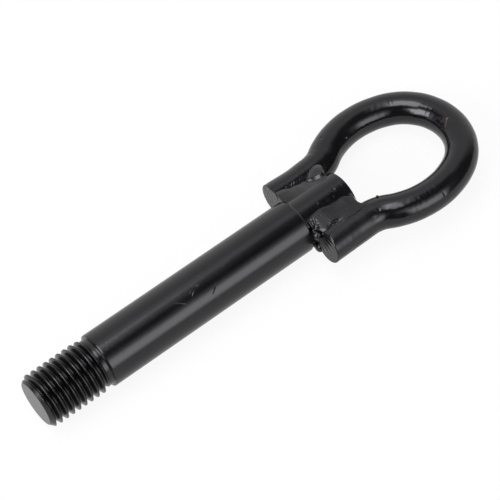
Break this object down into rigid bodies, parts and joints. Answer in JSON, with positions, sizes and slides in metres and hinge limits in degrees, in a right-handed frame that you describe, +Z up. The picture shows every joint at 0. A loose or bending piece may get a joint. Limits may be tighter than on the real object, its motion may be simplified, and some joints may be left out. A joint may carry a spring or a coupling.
{
  "type": "tow eye",
  "caption": "Screw-in tow eye: a bent rod loop welded to a round steel shank with a threaded end, painted black, for pulling a car by a rope, strap or shackle.",
  "frame": {"origin": "centre of the flat face at the threaded end", "axes": "+X along the shank from the thread to the eye, +Z up as the part lies on its shank and one side of its loop"},
  "size_m": [0.1858, 0.0559, 0.02],
  "materials": {
    "black_paint": "semi-gloss black paint over steel, with a few rust specks at the welds"
  },
  "bodies": {
    "root": {"shank": "black_paint", "eye_loop": "black_paint", "weld_left_upper": "black_paint", "weld_left_under": "black_paint", "weld_right_upper": "black_paint", "weld_right_under": "black_paint"}
  },
  "joints": []
}
